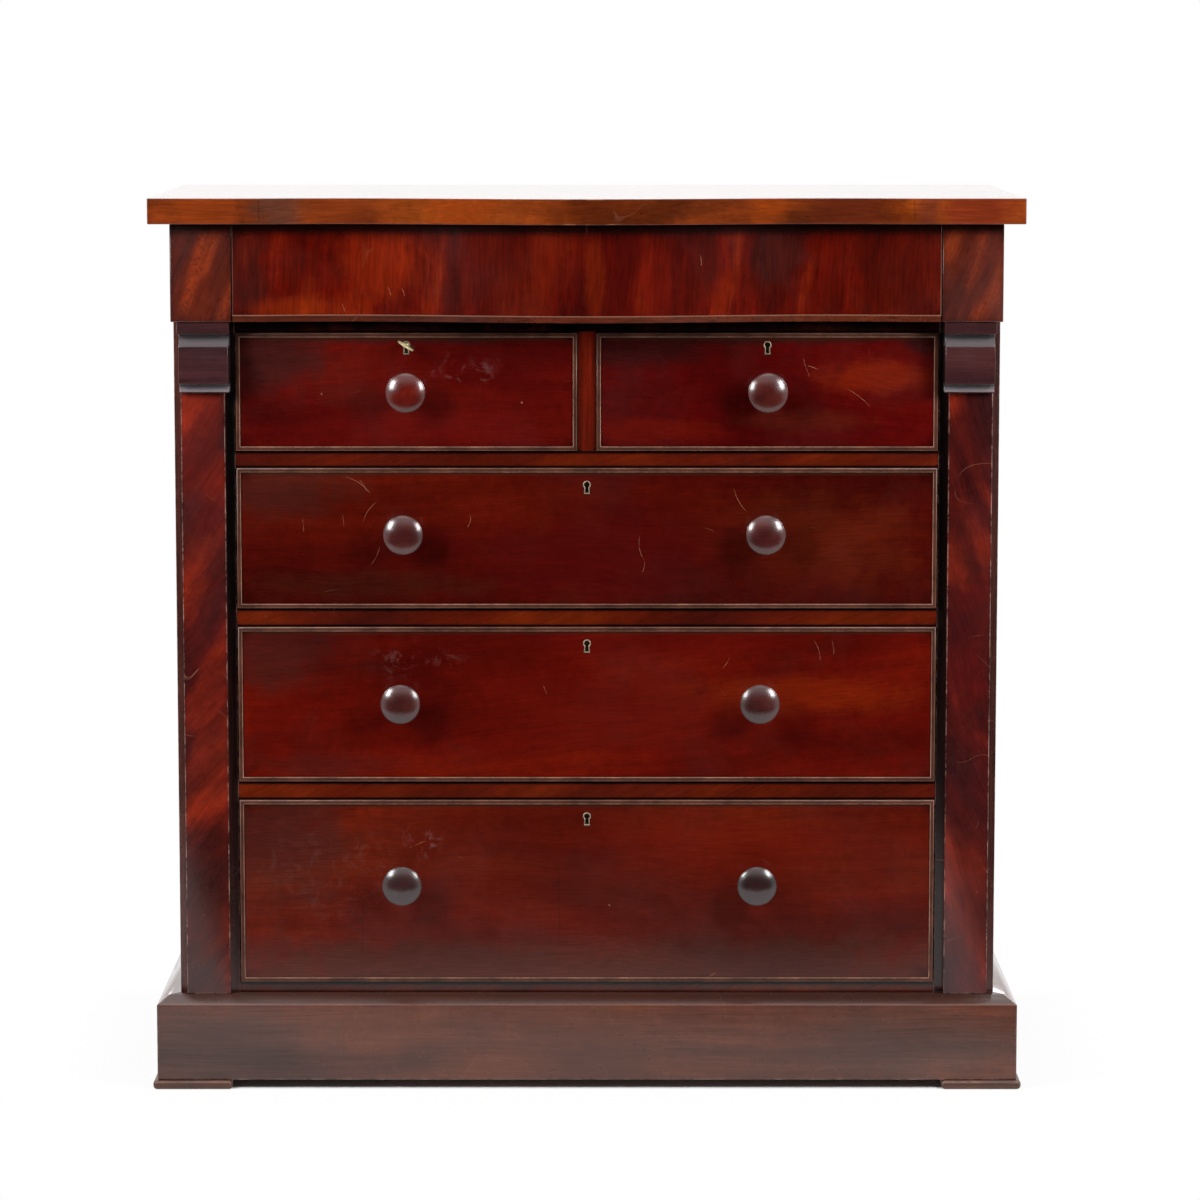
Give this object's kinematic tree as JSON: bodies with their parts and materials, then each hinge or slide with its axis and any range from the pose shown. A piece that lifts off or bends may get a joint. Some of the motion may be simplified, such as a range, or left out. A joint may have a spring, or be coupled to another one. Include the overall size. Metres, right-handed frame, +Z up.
{
  "type": "chest of drawers",
  "caption": "Mahogany chest of drawers: a frieze drawer under a serpentine top, short over long drawers with turned knobs, pilasters and a plinth.",
  "frame": {"origin": "bottom centre of the bounding box, on the floor between the four pads", "axes": "+Z up, -Y out of the drawer fronts, +X to the right as seen from the front"},
  "size_m": [1.2, 0.59, 1.23],
  "materials": {
    "top_mahogany": "polished, worn edges",
    "case_mahogany": "french polished",
    "figured_veneer": "french polished",
    "drawer_mahogany": "french polished",
    "bead_mahogany": "worn polish",
    "dark_mahogany": "gloss polish",
    "plinth_mahogany": "dulled polish",
    "pine": "bare, aged",
    "brass": "old, tarnished"
  },
  "bodies": {
    "carcass": {"top_board": "top_mahogany", "side_left": "case_mahogany", "side_right": "case_mahogany", "back_panel": "pine", "frieze_block_left": "figured_veneer", "frieze_block_right": "figured_veneer", "corbel_left": "dark_mahogany", "corbel_right": "dark_mahogany", "pilaster_left": "figured_veneer", "pilaster_right": "figured_veneer", "frieze_rail": "pine", "short_drawer_rail": "pine", "upper_drawer_rail": "pine", "middle_drawer_rail": "pine", "bottom_rail": "pine", "centre_muntin": "case_mahogany", "plinth_front": "plinth_mahogany", "plinth_left": "plinth_mahogany", "plinth_right": "plinth_mahogany", "foot_front_left": "plinth_mahogany", "foot_front_right": "plinth_mahogany", "foot_rear_left": "plinth_mahogany", "foot_rear_right": "plinth_mahogany"},
    "frieze_drawer": {"frieze_drawer_front": "figured_veneer", "frieze_drawer_box": "pine"},
    "short_left_drawer": {"short_left_drawer_front": "drawer_mahogany", "short_left_drawer_bead": "bead_mahogany", "short_left_drawer_box": "pine", "short_left_drawer_knob": "dark_mahogany", "short_left_drawer_escutcheon": "brass", "short_left_drawer_lock": "brass"},
    "short_right_drawer": {"short_right_drawer_front": "drawer_mahogany", "short_right_drawer_bead": "bead_mahogany", "short_right_drawer_box": "pine", "short_right_drawer_knob": "dark_mahogany", "short_right_drawer_escutcheon": "brass", "short_right_drawer_lock": "brass"},
    "upper_drawer": {"upper_drawer_front": "drawer_mahogany", "upper_drawer_bead": "bead_mahogany", "upper_drawer_box": "pine", "upper_drawer_knob_left": "dark_mahogany", "upper_drawer_knob_right": "dark_mahogany", "upper_drawer_escutcheon": "brass", "upper_drawer_lock": "brass"},
    "middle_drawer": {"middle_drawer_front": "drawer_mahogany", "middle_drawer_bead": "bead_mahogany", "middle_drawer_box": "pine", "middle_drawer_knob_left": "dark_mahogany", "middle_drawer_knob_right": "dark_mahogany", "middle_drawer_escutcheon": "brass", "middle_drawer_lock": "brass"},
    "lower_drawer": {"lower_drawer_front": "drawer_mahogany", "lower_drawer_bead": "bead_mahogany", "lower_drawer_box": "pine", "lower_drawer_knob_left": "dark_mahogany", "lower_drawer_knob_right": "dark_mahogany", "lower_drawer_escutcheon": "brass", "lower_drawer_lock": "brass"},
    "key": {"key": "brass"},
    "lock_bolt": {"short_left_drawer_bolt": "brass"}
  },
  "joints": [
    {"name": "frieze_drawer_slide", "type": "slide", "parent": "carcass", "child": "frieze_drawer", "axis": [0, -1, 0], "range_m": [0, 0.34]},
    {"name": "short_left_drawer_slide", "type": "slide", "parent": "carcass", "child": "short_left_drawer", "axis": [0, -1, 0], "range_m": [0, 0.34]},
    {"name": "short_right_drawer_slide", "type": "slide", "parent": "carcass", "child": "short_right_drawer", "axis": [0, -1, 0], "range_m": [0, 0.34]},
    {"name": "upper_drawer_slide", "type": "slide", "parent": "carcass", "child": "upper_drawer", "axis": [0, -1, 0], "range_m": [0, 0.34]},
    {"name": "middle_drawer_slide", "type": "slide", "parent": "carcass", "child": "middle_drawer", "axis": [0, -1, 0], "range_m": [0, 0.34]},
    {"name": "lower_drawer_slide", "type": "slide", "parent": "carcass", "child": "lower_drawer", "axis": [0, -1, 0], "range_m": [0, 0.34]},
    {"name": "key_turn", "type": "hinge", "parent": "short_left_drawer", "child": "key", "pos_m": [-0.246, -0.194, 1.0282], "axis": [0, -1, 0], "range_deg": [-57, 123]},
    {"name": "bolt_throw", "type": "slide", "parent": "short_left_drawer", "child": "lock_bolt", "axis": [0, 0, 1], "range_m": [-0.0025, 0.0052]}
  ],
  "couplings": [
    {"joint": "bolt_throw", "follows": "key_turn", "m_per_rad": 0.0024}
  ]
}
